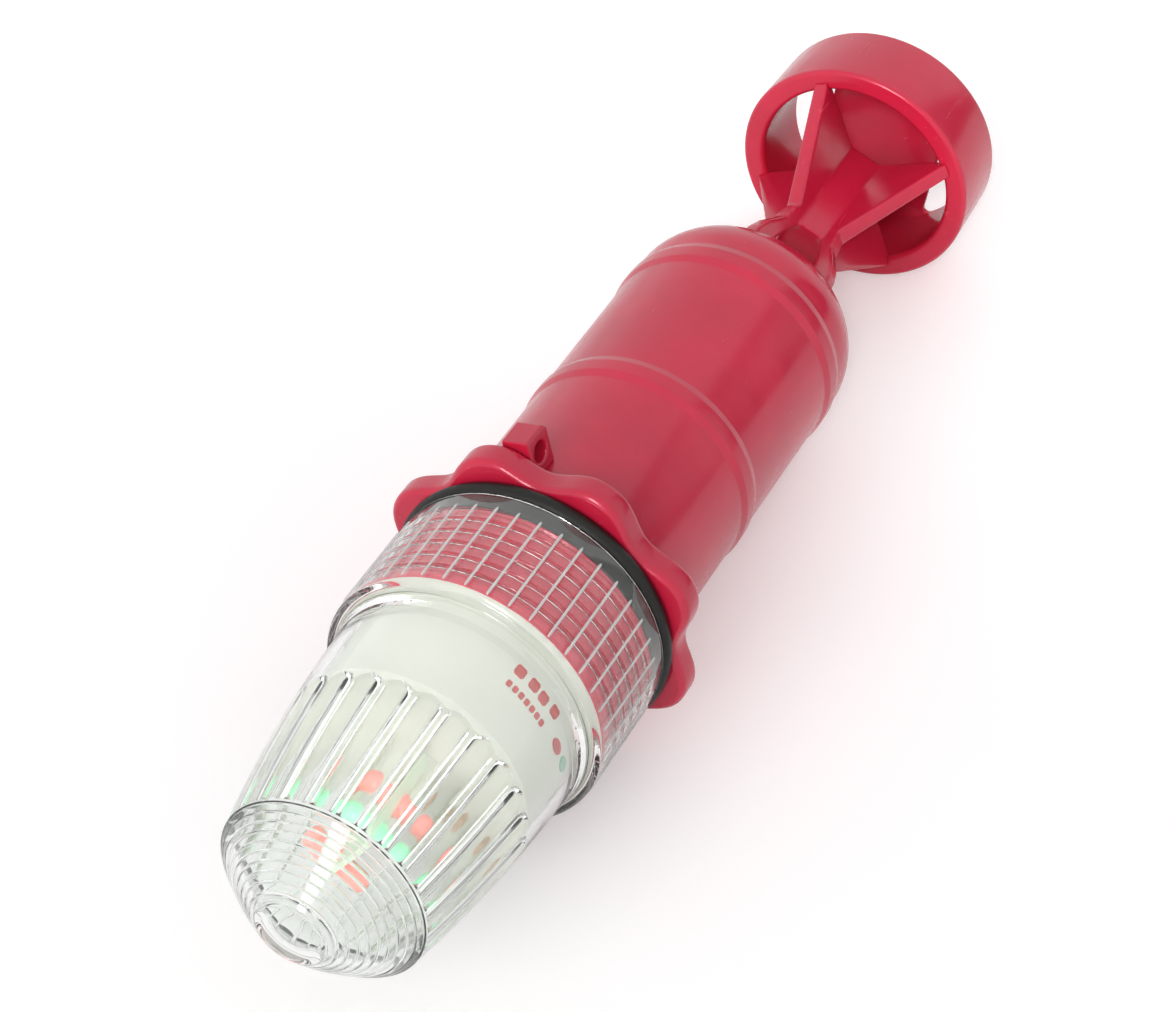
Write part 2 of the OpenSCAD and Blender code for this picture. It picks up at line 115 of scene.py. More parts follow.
class Tree:
    """Short calls for building one material's node tree."""

    def __init__(self, name):
        self.material = bpy.data.materials.new(name)
        self.material.use_nodes = True
        self.nodes = self.material.node_tree.nodes
        self.links = self.material.node_tree.links
        self.shader = self.nodes["Principled BSDF"]
        self.place = self.nodes.new("ShaderNodeTexCoord").outputs["Object"]

    def node(self, kind, **settings):
        made = self.nodes.new("ShaderNode" + kind)
        for key, value in settings.items():
            setattr(made, key, value)
        return made

    def put(self, socket, value):
        if isinstance(value, bpy.types.NodeSocket):
            self.links.new(value, socket)
        else:
            socket.default_value = value

    def noise(self, scale, detail=3.0, stretch=None, rough=0.55):
        made = self.node("TexNoise")
        made.inputs["Scale"].default_value = scale
        made.inputs["Detail"].default_value = detail
        made.inputs["Roughness"].default_value = rough
        source = self.place
        if stretch:
            mapping = self.node("Mapping")
            mapping.inputs["Scale"].default_value = stretch
            self.put(mapping.inputs["Vector"], self.place)
            source = mapping.outputs["Vector"]
        self.put(made.inputs["Vector"], source)
        return made.outputs["Fac"]

    def remap(self, value, low, high, new_low, new_high):
        made = self.node("MapRange", clamp=True)
        for socket, v in zip(made.inputs, (value, low, high, new_low, new_high)):
            self.put(socket, v)
        return made.outputs[0]

    def math(self, operation, a, b):
        made = self.node("Math", operation=operation)
        self.put(made.inputs[0], a)
        self.put(made.inputs[1], b)
        return made.outputs[0]

    def mix(self, factor, a, b):
        made = self.node("Mix", data_type="RGBA")
        self.put(made.inputs[0], factor)
        self.put(made.inputs[6], a)
        self.put(made.inputs[7], b)
        return made.outputs[2]

    def set(self, **values):
        for key, value in values.items():
            self.put(self.shader.inputs[key.replace("_", " ")], value)

    def bump(self, height, distance, strength=1.0):
        made = self.node("Bump")
        made.inputs["Strength"].default_value = strength
        made.inputs["Distance"].default_value = distance
        self.put(made.inputs["Height"], height)
        self.put(self.shader.inputs["Normal"], made.outputs["Normal"])


def rgb(r, g, b):
    """Linear colour of an sRGB colour from 0 to 255."""
    out = []
    for v in (r, g, b):
        v /= 255
        out.append(v / 12.92 if v <= 0.04045 else ((v + 0.055) / 1.055) ** 2.4)
    return (*out, 1.0)


def toned(tree, colour, scale=60.0, amount=0.06):
    """The colour with slow, faint patches that are a little lighter and darker."""
    darker = tuple(c * (1 - amount) for c in colour[:3]) + (1.0,)
    lighter = tuple(min(1.0, c * (1 + amount)) for c in colour[:3]) + (1.0,)
    return tree.mix(tree.remap(tree.noise(scale), 0.35, 0.65, 0.0, 1.0), darker, lighter)


def red_plastic():
    """Glossy crimson moulding: slow tone, faint swirls, fine scuffs and dust."""
    t = Tree("red_plastic")
    base = toned(t, rgb(194, 30, 60), 45.0, 0.07)
    scuffs = t.remap(t.noise(260.0, 6.0, (1.0, 0.12, 1.0), 0.7), 0.62, 0.72, 0.0, 1.0)
    dust = t.remap(t.noise(2600.0, 2.0), 0.68, 0.78, 0.0, 0.35)
    base = t.mix(t.math("MULTIPLY", scuffs, 0.12), base, rgb(216, 96, 112))
    base = t.mix(t.math("MULTIPLY", dust, 0.5), base, rgb(222, 130, 140))
    gloss = t.remap(t.noise(120.0), 0.3, 0.7, 0.18, 0.26)
    t.set(Base_Color=base, Roughness=t.math("ADD", gloss, t.math("MULTIPLY", scuffs, 0.12)))
    t.set(Specular_IOR_Level=0.5, Specular_Tint=(1.0, 0.88, 0.97, 1.0), Coat_Weight=0.12)
    t.set(Coat_Roughness=0.08)
    swirl = t.math("ADD", t.noise(70.0, 2.0), t.math("MULTIPLY", t.noise(1500.0, 2.0), 0.05))
    t.bump(swirl, 0.00022, 0.5)
    return t.material


def clear_plastic():
    """Clear moulding, which lets lamps through to what it holds."""
    t = Tree("clear_plastic")
    haze = t.remap(t.noise(350.0, 4.0), 0.45, 0.75, 0.015, 0.05)
    parts = t.node("SeparateXYZ")
    t.put(parts.inputs[0], t.place)
    back = t.remap(parts.outputs[1], -0.2555, -0.2515, 1.0, 0.0)
    front = t.remap(parts.outputs[1], -0.2885, -0.2865, 0.0, 1.0)
    haze = t.math("ADD", haze, t.math("MULTIPLY", t.math("MULTIPLY", back, front), 0.09))
    t.set(Base_Color=toned(t, (0.955, 0.985, 0.965, 1.0), 40.0, 0.006), Roughness=haze)
    t.set(IOR=1.49)
    t.shader.inputs["Transmission Weight"].default_value = 1.0
    t.bump(t.noise(90.0, 2.0), 0.00008, 0.4)
    return lamps_pass(t, (0.79, 0.78, 0.765, 1.0))


def frosted_plastic():
    """The clear moulding where its grip bars are rubbed dull."""
    t = Tree("frosted_plastic")
    t.set(Base_Color=toned(t, (0.9, 0.92, 0.91, 1.0), 200.0, 0.03), IOR=1.49)
    t.set(Roughness=t.remap(t.noise(500.0, 3.0), 0.35, 0.65, 0.35, 0.55))
    t.shader.inputs["Transmission Weight"].default_value = 0.5
    t.bump(t.noise(1500.0, 2.0), 0.00003, 0.5)
    return lamps_pass(t, (0.8, 0.82, 0.81, 1.0))


def lamps_pass(t, colour):
    """Lets lamps through the material, in the given colour."""
    through = t.node("BsdfTransparent")
    through.inputs["Color"].default_value = colour
    path = t.node("LightPath")
    both = t.node("MixShader")
    t.put(both.inputs[0], path.outputs["Is Shadow Ray"])
    t.put(both.inputs[1], t.shader.outputs[0])
    t.put(both.inputs[2], through.outputs[0])
    t.put(t.nodes["Material Output"].inputs["Surface"], both.outputs[0])
    return t.material


def plain(name, colour, rough, tone=0.05, scale=80.0, grain=0.0, grain_scale=1800.0, **shader):
    """One finish with slow tone, uneven gloss and a fine grain."""
    t = Tree(name)
    t.set(Base_Color=toned(t, colour, scale, tone))
    t.set(Roughness=t.remap(t.noise(scale * 2.5), 0.3, 0.7, rough * 0.85, rough * 1.15))
    for key, value in shader.items():
        t.shader.inputs[key.replace("_", " ")].default_value = value
    if grain:
        t.bump(t.noise(grain_scale, 3.0), grain, 0.6)
    return t.material


def led_plastic(name, colour, painted_glint_glow):
    """Tinted epoxy of an LED, with a painted glow at its heart that stands in for glints of light
    on the unlit LED.
    """
    t = Tree(name)
    t.set(Base_Color=toned(t, colour, 400.0, 0.08))
    t.set(Roughness=t.remap(t.noise(700.0), 0.3, 0.7, 0.06, 0.14))
    t.shader.inputs["Emission Color"].default_value = colour
    # The emission is painted light: a faint glow in place of glints, as the LED is not lit.
    t.shader.inputs["Emission Strength"].default_value = painted_glint_glow
    t.shader.inputs["Coat Weight"].default_value = 0.6
    return t.material


RED = red_plastic()
CLEAR = clear_plastic()
FROSTED = frosted_plastic()
RUBBER = plain("black_rubber", rgb(24, 24, 22), 0.5, 0.12, 200.0, 0.00003, Specular_IOR_Level=0.3)
WHITE = plain("white_plastic", rgb(221, 221, 213), 0.38, 0.02, 60.0, 0.00002, 900.0)
BOARD = plain("pale_board", rgb(214, 226, 206), 0.45, 0.04, 120.0, 0.00002)
GREEN_BOARD = plain("green_board", rgb(28, 104, 66), 0.4, 0.08, 160.0, 0.00003)
BRASS = plain("contact_brass", rgb(214, 178, 104), 0.3, 0.08, 200.0, 0.00001, Metallic=1.0)
STEEL = plain("plated_steel", rgb(196, 196, 198), 0.28, 0.05, 200.0, 0.00001, Metallic=1.0)
COPPER = plain("copper_wire", rgb(176, 96, 52), 0.3, 0.1, 300.0, 0.00005, 2500.0, Metallic=0.6)
JACKET = plain("cell_jacket", rgb(52, 54, 60), 0.35, 0.1, 60.0, 0.00002)
SLEEVE = plain("capacitor_sleeve", rgb(30, 44, 86), 0.3, 0.1, 150.0, 0.00002)
EPOXY = plain("chip_epoxy", rgb(28, 28, 30), 0.55, 0.12, 500.0, 0.00002)
CERAMIC = plain("chip_ceramic", rgb(188, 170, 132), 0.5, 0.1, 500.0, 0.00002)
SENSOR = plain("sensor_face", rgb(204, 172, 146), 0.25, 0.15, 900.0, 0.00003, Coat_Weight=0.5)
# Both LED finishes carry a faint painted glow in place of glints on the unlit LEDs.
LED_RED = led_plastic("red_led", rgb(255, 150, 142), 0.18)
LED_GREEN = led_plastic("green_led", rgb(150, 236, 186), 0.25)
PRINT = plain("red_print", rgb(196, 84, 82), 0.45, 0.1, 500.0, 0.00001)
PRINT_GREEN = plain("green_print", rgb(140, 186, 166), 0.45, 0.1, 500.0, 0.00001)

CAD_LOOKS = {
    "body_shell": RED, "neck_flange": RED, "rope_lug": RED, "tail_yoke": RED, "tail_ring": RED,
    "tail_strap": RED, "o_ring": RUBBER, "negative_strip": BRASS, "spring_plate": STEEL,
    "battery_spring": STEEL, "rear_cell": JACKET, "rear_cell_cap": STEEL,
    "front_cell": JACKET, "front_cell_cap": STEEL,
    "module_cup": WHITE, "driver_board": GREEN_BOARD, "positive_contact": BRASS,
    "negative_ring": BRASS, "board_screws": STEEL, "power_coil": COPPER,
    "storage_capacitor": SLEEVE, "driver_chip": EPOXY, "resistors": CERAMIC,
    "header_pins": BRASS, "board_socket": WHITE, "upright_board": BOARD, "red_leds": LED_RED,
    "green_leds": LED_GREEN, "light_sensor": SENSOR, "lens": CLEAR,
}
for node, look in CAD_LOOKS.items():
    mesh = nodes[node].data
    mesh.materials.clear()
    mesh.materials.append(look)


# Shapes


def add_mesh(name, points, faces, body, look, sharp=30.0):
    """Adds a closed mesh of row points, smooth but for edges over the sharp angle."""
    mesh = bpy.data.meshes.new(name)
    mesh.from_pydata([tuple(p) for p in points], [], faces)
    work = bmesh.new()
    work.from_mesh(mesh)
    bmesh.ops.recalc_face_normals(work, faces=work.faces)
    work.to_mesh(mesh)
    work.free()
    mesh.shade_smooth()
    mesh.set_sharp_from_angle(angle=math.radians(sharp))
    mesh.materials.append(look)
    piece = bpy.data.objects.new(name, mesh)
    scene.collection.objects.link(piece)
    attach(piece, body)
    return piece


def rounded(points, steps=5):
    """A profile of (r, z, corner radius) with each corner turned into an arc."""
    out = []
    for i, (r, z, radius) in enumerate(points):
        here = np.array((r, z), float)
        if radius <= 0 or i in (0, len(points) - 1):
            out.append(here)
            continue
        before = np.array(points[i - 1][:2], float) - here
        after = np.array(points[i + 1][:2], float) - here
        u, v = before / np.linalg.norm(before), after / np.linalg.norm(after)
        half = math.acos(max(-1.0, min(1.0, float(u @ v)))) / 2
        reach = min(radius / math.tan(half), 0.49 * np.linalg.norm(before),
                    0.49 * np.linalg.norm(after))
        arc = reach * math.tan(half)
        centre = here + (u + v) / np.linalg.norm(u + v) * arc / math.sin(half)
        a, b = here + u * reach - centre, here + v * reach - centre
        for k in range(steps + 1):
            w = k / steps
            d = a * (1 - w) + b * w
            out.append(centre + d / np.linalg.norm(d) * arc)
    return out


def turned(rows, angles, closed=True):
    """Points and faces of rows of (r, z) turned about the axis. A row is a pair, or a
    list of pairs, one for each angle. closed joins the last row to the first."""
    points, rings = [], []
    for row in rows:
        row = np.asarray(row, float)
        if row.ndim == 1:
            if row[0] < 1e-9:
                rings.append([len(points)])
                points.append(spot(0, 0, row[1]))
                continue
            row = np.tile(row, (len(angles), 1))
        rings.append(list(range(len(points), len(points) + len(angles))))
        points += [spot(r, a, z) for (r, z), a in zip(row, angles)]
    faces = []
    n = len(angles)
    pairs = list(zip(rings, rings[1:] + ([rings[0]] if closed else [])))
    for one, two in pairs:
        for k in range(n):
            m = (k + 1) % n
            if len(one) == 1 and len(two) == 1:
                break
            if len(one) == 1:
                faces.append((one[0], two[m], two[k]))
            elif len(two) == 1:
                faces.append((one[k], one[m], two[0]))
            else:
                faces.append((one[k], one[m], two[m], two[k]))
    return points, faces


def even(n):
    return [360 * k / n for k in range(n)]


def body_tube():
    """The tube with its bands and domed end, with soft edges, and its cell guides."""
    outer = [(BORE_R, FLANGE_T, 0), (BODY_R + 1.4, FLANGE_T, 0), (BODY_R, FLANGE_T + 1.4, 1.6)]
    for z in BAND_STARTS:
        outer += [(BODY_R, z - 0.2, 1.5), (BODY_R + BAND_RISE, z + 1.9, 1.5),
                  (BODY_R + BAND_RISE, z + BAND_W - 1.9, 1.5), (BODY_R, z + BAND_W + 0.2, 1.5)]
    rows = rounded(outer + [(BODY_R, 101.0, 0)], 4)
    wall = BODY_R - BORE_R
    mid_r, mid_z = BODY_R - BODY_CORNER, BODY_END - BODY_CORNER
    rows += [(mid_r + BODY_CORNER * math.sin(t), mid_z + BODY_CORNER * math.cos(t))
             for t in np.radians(np.linspace(90, 0, 19))]
    rows += [(6.0, BODY_END), (0.0, BODY_END), (0.0, BODY_END - wall), (6.0, BODY_END - wall)]
    inner = BODY_CORNER - wall
    rows += [(mid_r + inner * math.sin(t), mid_z + inner * math.cos(t))
             for t in np.radians(np.linspace(0, 90, 13))]
    points, faces = turned(rows, even(192))
    for a in (45, 135, 225, 315):
        turn = Matrix.Rotation(math.radians(a), 3, "Y")
        at = len(points)
        for z in (FLANGE_T, 99.0):
            for r in (17.4, 26.0):
                for w in (-1.0, 1.0):
                    p = turn @ Vector((w * MM, 0, r * MM))
                    points.append((p.x, (z - TAIL_END) * MM, p.z))
        faces += [tuple(at + k for k in f) for f in (
            (0, 1, 3, 2), (4, 6, 7, 5), (0, 4, 5, 1), (2, 3, 7, 6), (0, 2, 6, 4), (1, 5, 7, 3))]
    piece = add_mesh("body_tube", points, faces, "housing", RED)
    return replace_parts(piece, "body_shell")


def ridge(z, a, wide, shift=0.0):
    """How far up the thread's ridge of the given width a point lies, from 0 to 1."""
    off = abs((z - LEAD * a / 360 + shift) % LEAD - LEAD / 2)
    share = max(0.0, min(1.0, (wide / 2 - off) / 0.35))
    return share * share * (3 - 2 * share)


def neck_r(z):
    """Radius under the thread: the pilot bands at both ends stand out."""
    return float(np.interp(z, (-28.3, -27.5, -8.9, -8.1, -4.9, -4.1),
                           (LAND_R, NECK_R, NECK_R, LAND_R, LAND_R, NECK_R)))


def neck_and_flange():
    """The neck with its thread, and the lobed flange with soft edges."""
    angles = even(288)
    notch = [0.5 + 0.5 * math.cos(math.radians(LOBES * a)) for a in angles]
    lobe = np.array([LOBE_R - LOBE_DEPTH * share ** 1.2 for share in notch])
    flat = np.ones(len(angles))

    def row(r, z):
        return np.stack([r * flat, z * flat], axis=1)

    rows = [row(BORE_R, FLANGE_T), row(BORE_R, NECK_END + 0.5), row(BORE_R + 0.5, NECK_END)]
    front = rounded([(BORE_R + 0.5, NECK_END, 0), (PILOT_R - 0.1, NECK_END, 0.4),
                     (LAND_R, NECK_END + 0.45, 0)], 3)
    rows += [row(r, z) for r, z in front[1:]]
    step = 0.125
    for k in range(int((31.0 - 4.6) / step) + 1):
        z = -30.975 + k * step
        fade = max(0.0, min(1.0, (z + 31.0) / 0.5, (-4.6 - z) / 0.5))
        share = np.array([ridge(z, a, 1.8) * fade for a in angles])
        rows.append(np.stack([np.maximum(neck_r(z) + 0.2 * share, NECK_R + 0.95 * share),
                              z * flat], axis=1))
    back = rounded([(neck_r(-4.5), -4.5, 0), (NECK_R, -4.0, 0.3), (NECK_R, 0.0, 0.3),
                    (NECK_R + 1.5, 0.0, 0)], 3)
    rows += [row(r, z) for r, z in back[1:]]
    for t in np.radians(np.linspace(0, 90, 7)):
        rows.append(np.stack([lobe - LOBE_EDGE + LOBE_EDGE * math.sin(t),
                              (LOBE_EDGE - LOBE_EDGE * math.cos(t)) * flat], axis=1))
    for t in np.radians(np.linspace(90, 0, 7)):
        rows.append(np.stack([lobe - LOBE_EDGE + LOBE_EDGE * math.sin(t),
                              (FLANGE_T - LOBE_EDGE + LOBE_EDGE * math.cos(t)) * flat], axis=1))
    rows.append(row(BODY_R, FLANGE_T))
    points, faces = turned(rows, angles)
    piece = add_mesh("neck_and_flange", points, faces, "housing", RED, 35.0)
    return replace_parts(piece, "neck_flange")


def seal_collar():
    """The sealing ring's thin collar on the neck, seen through the lens's rim."""
    inner, outer, back, front = 30.5, 30.93, -3.9, -7.9
    rows = rounded([(inner, back, 0), (outer, back, 0), (outer, front, 0.15), (inner, front, 0),
                    (inner, back, 0)], 3)
    points, faces = turned(rows[:-1], even(180))
    return add_mesh("seal_collar", points, faces, "housing", RUBBER)


def tail_ring():
    """The tail ring, turned with soft edges and a little draft outside."""
    rows = rounded([(27.2, RING_START, 0), (30.1, RING_START, 1.1), (29.4, TAIL_END, 1.5),
                    (RING_BORE, TAIL_END, 0.5), (RING_BORE, RING_START, 1.5),
                    (27.2, RING_START, 0)], 6)
    points, faces = turned(rows[:-1], even(240))
    piece = add_mesh("ring_moulding", points, faces, "housing", RED)
    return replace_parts(piece, "tail_ring")


def tail_strap():
    """The flat strap across the ring's mouth, with soft edges and rounded window corners."""
    points = []
    turn = math.radians(STRAP_ANGLE)
    fillet, reach = 1.2, RING_BORE + 0.55
    across = STRAP_W / 2 + fillet
    along = math.sqrt((RING_BORE - fillet) ** 2 - across ** 2)
    lean = math.atan2(across, along)
    levels = ((0.0, 0.5), (0.08, 0.22), (0.3, 0.0), (1.3, 0.0), (1.51, 0.22), (1.59, 0.5))
    for z, inset in levels:
        corner = [(along + (fillet + inset) * math.cos(t), across + (fillet + inset) * math.sin(t))
                  for t in np.linspace(lean, -math.pi / 2, 13)]
        side = [(reach * math.cos(t), reach * math.sin(t)) for t in np.linspace(0, lean, 9)]
        side += corner
        half = side + [(-u, v) for u, v in reversed(side)]
        outline = half + [(-u, -v) for u, v in half[1:-1]]
        size = len(outline)
        points += [spot(math.hypot(u, v), math.degrees(math.atan2(v, u) + turn),
                        TAIL_END - STRAP_T + z) for u, v in outline]
    last = len(levels) - 1
    faces = [tuple(range(size)), tuple(range(last * size, (last + 1) * size))]
    for k in range(last):
        for m in range(size):
            n = (m + 1) % size
            faces.append((k * size + m, k * size + n, (k + 1) * size + n, (k + 1) * size + m))
    piece = add_mesh("strap_moulding", points, faces, "housing", RED, 40.0)
    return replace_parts(piece, "tail_strap")


def remeshed(name, source, voxel, smooth, turn, body, look):
    """A soft-edged moulding of a CAD node, meshed while turned by the given angle."""
    level = Matrix.Rotation(math.radians(turn), 4, "Y")
    mesh = source.data.copy()
    mesh.name = name
    mesh.transform(level)
    piece = bpy.data.objects.new(name, mesh)
    scene.collection.objects.link(piece)
    shell = piece.modifiers.new("shell", "REMESH")
    shell.mode = "VOXEL"
    shell.voxel_size = voxel * MM
    soft = piece.modifiers.new("soft", "SMOOTH")
    soft.factor = 0.5
    soft.iterations = smooth
    graph = bpy.context.evaluated_depsgraph_get()
    made = bpy.data.meshes.new_from_object(piece.evaluated_get(graph))
    piece.modifiers.clear()
    piece.data = made
    made.transform(level.inverted())
    made.name = name
    made.materials.clear()
    made.materials.append(look)
    made.shade_smooth()
    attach(piece, body)
    return piece


def dome_r(z):
    """Outer radius of the lens's dome."""
    t = (DOME_BASE - z) / (DOME_BASE - TIP_BASE)
    return DOME_BASE_R + (TIP_BASE_R - DOME_BASE_R) * t + 4 * DOME_BULGE * t * (1 - t)


def tip_point(t):
    """Radius and length on the lens's tip, from its base at 0 to its end at 1."""
    r = TIP_BASE_R + (TIP_END_R - TIP_BASE_R) * t + 4 * TIP_BULGE * t * (1 - t)
    return r, TIP_BASE + (TIP_END - TIP_BASE) * t


def clear_lens():
    """The lens: skirt with its thread, fluted dome and ringed tip."""
    half = 6.5
    marks = [-half, -5.95, -5.0, -3.7, -2.2, -0.7, 0.7, 2.2, 3.7, 5.0, 5.95, half, half + 1.0]
    angles = [k * 360 / FLUTES - 1.0 + m for k in range(FLUTES) for m in marks]
    flat = np.ones(len(angles))
    off = np.tile(np.clip(np.array(marks) / half, -1, 1), FLUTES)
    flute = np.sqrt(1 - off ** 2)
    arch = 1 - flute

    def row(r, z):
        return np.stack([r * flat, z * flat], axis=1)

    rows = [row(SKIRT_BORE + 0.3, SKIRT_END), row(SKIRT_R - 0.35, SKIRT_END),
            row(SKIRT_R - 0.1, SKIRT_END - 0.1), row(SKIRT_R, SKIRT_END - 0.35)]
    rows += [row(SKIRT_R, z) for z in (-10.0, -20.0, -30.0, -32.6)]
    rows += [row(r, z) for r, z in rounded(
        [(SKIRT_R, -32.7, 0), (SKIRT_R, SHOULDER_OUT, 1.2), (30.4, -35.4, 0.7),
         (29.9, -37.2, 0.9), (dome_r(DOME_BASE), DOME_BASE, 0)], 5)]
    for k in range(1, 19):
        z = DOME_BASE + (TIP_BASE + 0.3 - DOME_BASE) * k / 18
        rows.append(row(dome_r(z), z))
    for k in range(TIP_RINGS):
        for u, sunk in ((0.0, 0.32), (0.08, 0.24), (0.16, 0.04), (0.2, 0.0), (0.26, 0.0),
                        (0.84, 0.0), (0.9, 0.0), (0.95, 0.08)):
            r, z = tip_point((k + u) / TIP_RINGS)
            rows.append(row(r - 0.1 - 0.7 * sunk, z + 0.7 * sunk))
    rows += [row(8.3, TIP_END + 0.25), row(8.0, TIP_END), row(6.8, TIP_END),
             row(6.0, TIP_END + 0.12), row(3.0, TIP_END + 0.12), (0.0, TIP_END + 0.12)]
    rows += [(0.0, TIP_END + 2.4), row(3.0, TIP_END + 2.4)]
    for t in (0.94, 0.82, 0.7, 0.58, 0.46, 0.34, 0.22, 0.1):
        r, z = tip_point(t)
        rows.append(row(r - LENS_WALL, z + LENS_WALL))
    for z in [FLUTE_END, -91.6, -91.2] + list(np.linspace(-90.0, -64.0, 14)) + list(
            np.linspace(-63.0, -57.6, 19)):
        share = np.clip((-57.9 - 3.0 * arch - z) / 0.9, 0, 1) * min(1.0, (z - FLUTE_END) / 0.7)
        depth = FLUTE_DEPTH * share ** 0.7 * flute
        rows.append(np.stack([dome_r(z) - LENS_WALL - depth, z * flat], axis=1))
    rows += [row(dome_r(z) - LENS_WALL, z) for z in (-54.0, -48.0, -42.0, -38.0)]
    rows += [row(r, z) for r, z in rounded(
        [(dome_r(-37.0) - LENS_WALL, -37.0, 0), (27.4, SHOULDER_IN, 0.8),
         (SKIRT_BORE, SHOULDER_IN, 0.5), (SKIRT_BORE, -31.5, 0)], 3)]
    step = 0.2
    for k in range(int((29.4 - 8.4) / step) + 1):
        z = -29.4 + k * step
        fade = min(1.0, (z + 29.6) / 0.8, (-8.2 - z) / 0.8)
        share = np.array([ridge(z, a, 1.4, LEAD / 2) * max(fade, 0.0) for a in angles])
        rows.append(np.stack([SKIRT_BORE - 0.3 * share, z * flat], axis=1))
    rows += [row(SKIRT_BORE, -7.0), row(SKIRT_BORE, SKIRT_END - 0.4)]
    points, faces = turned(rows, angles)
    piece = add_mesh("clear_lens", points, faces, "lens_cap", CLEAR, 40.0)
    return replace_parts(piece, "lens")


def grip_bars():
    """Forty low half-round bars round the lens's skirt, worn dull."""
    points, faces = [], []
    ends = ((-8.0, 0.0), (-8.3, 0.6), (-8.9, 1.0), (-19.0, 1.0), (-31.6, 1.0), (-32.3, 0.6),
            (-32.6, 0.0))
    n = 9
    for k in range(GRIP_BARS):
        at = len(points)
        for z, share in ends:
            for t in np.radians(np.linspace(0, 180, n)):
                points.append(spot(SKIRT_R - 0.05 + (0.02 + 0.33 * share) * math.sin(t),
                                   k * 360 / GRIP_BARS + (0.25 + 0.3 * share) * math.cos(t), z))
        for i in range(len(ends) - 1):
            a, b = at + i * n, at + i * n + n
            for j in range(n):
                m = (j + 1) % n
                faces.append((a + j, a + m, b + m, b + j))
        last = len(points) - n
        faces += [tuple(range(at, at + n)), tuple(range(last, last + n))]
    return add_mesh("grip_bars", points, faces, "lens_cap", FROSTED, 50.0)


def cup_r(z):
    """Outer radius of the module cup under the dome."""
    return dome_r(z) - LENS_WALL - CUP_GAP


def on_cup(name, outline, look, lift=0.05):
    """A thin print on the cup. Its outline is a ring of (angle, z) pairs."""
    points, n = [], len(outline)
    for rise in (lift, -0.1):
        points += [spot(cup_r(z) + rise, a, z) for a, z in outline]
    faces = [tuple(range(n)), tuple(range(2 * n - 1, n - 1, -1))]
    faces += [(k, (k + 1) % n, n + (k + 1) % n, n + k) for k in range(n)]
    return add_mesh(name, points, faces, "light_module", look)


def cup_prints():
    """Two rows of plain red dashes and two dots, where the real cup is printed."""
    def dash(a, z, wide, tall):
        return [(a + wide * x, z + tall * y) for x, y in (
            (-0.5, -0.3), (-0.35, -0.5), (0.35, -0.5), (0.5, -0.3),
            (0.5, 0.3), (0.35, 0.5), (-0.35, 0.5), (-0.5, 0.3))]

    for k, (a, z) in enumerate(((37.5, -40.0), (46.0, -39.8), (53.0, -40.0), (61.5, -39.4))):
        on_cup(f"print_wide_{k}", dash(a, z, 5.5, 2.8), PRINT)
    for k in range(7):
        on_cup(f"print_small_{k}", dash(36.5 + 3.8 * k, -44.2, 2.6, 1.5), PRINT)
    for name, a, z, look, slot in (("print_dot_red", 74.5, -43.0, PRINT, "led_red"),
                                   ("print_dot_green", 86.0, -42.3, PRINT_GREEN, "led_green")):
        ring = [(a + 4.3 * math.cos(t), z + 1.25 * math.sin(t))
                for t in np.linspace(0, 2 * math.pi, 28, endpoint=False)]
        on_cup(name, ring, look)


body_tube()
neck_and_flange()
seal_collar()
tail_ring()
tail_strap()
yoke = remeshed("yoke_moulding", nodes["tail_yoke"], 0.4, 5, -RIB_ANGLE, "housing", RED)
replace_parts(yoke, "tail_yoke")
lug = remeshed("lug_moulding", nodes["rope_lug"], 0.25, 5, -LUG_ANGLE, "housing", RED)
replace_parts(lug, "rope_lug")
clear_lens()
grip_bars()
cup_prints()


# Stage, lamps and camera


def floor():
    """A pale floor that touches the lobes and the tail ring, as the light lies."""
    mesh = bpy.data.meshes.new("floor")
    size, centre_y = 2.2, -0.15
    lobes_y, lobes_drop = -189.0, 35.1
    ring_y, ring_drop = -1.6, 30.1
    slope = (lobes_drop - ring_drop) / (ring_y - lobes_y)
    below = (lobes_drop + 0.02) * MM
    corners = []
    for x, y in ((-size, -size), (size, -size), (size, size), (-size, size)):
        y += centre_y
        corners.append((x, y, slope * (y - lobes_y * MM) - below))
    mesh.from_pydata(corners, [], [(0, 1, 2, 3)])
    piece = bpy.data.objects.new("floor", mesh)
    scene.collection.objects.link(piece)
    t = Tree("floor_paper")
    t.set(Base_Color=toned(t, (0.86, 0.845, 0.85, 1.0), 6.0, 0.01), Roughness=0.6)
    t.shader.inputs["Specular IOR Level"].default_value = 0.2
    t.bump(t.noise(900.0, 3.0), 0.00005, 0.3)
    lift = t.node("Emission")
    lift.inputs["Color"].default_value = (1.0, 0.985, 0.99, 1.0)
    path = t.node("LightPath")
    seen = t.math("MULTIPLY", path.outputs["Is Camera Ray"], 0.31)
    gloss = t.math("MULTIPLY", path.outputs["Is Glossy Ray"], 0.2)
    through = t.math("MULTIPLY", path.outputs["Is Transmission Ray"], 0.06)
    t.put(lift.inputs["Strength"], t.math("ADD", seen, t.math("ADD", gloss, through)))
    both = t.node("AddShader")
    t.put(both.inputs[0], t.shader.outputs[0])
    t.put(both.inputs[1], lift.outputs[0])
    t.put(t.nodes["Material Output"].inputs["Surface"], both.outputs[0])
    mesh.materials.append(t.material)


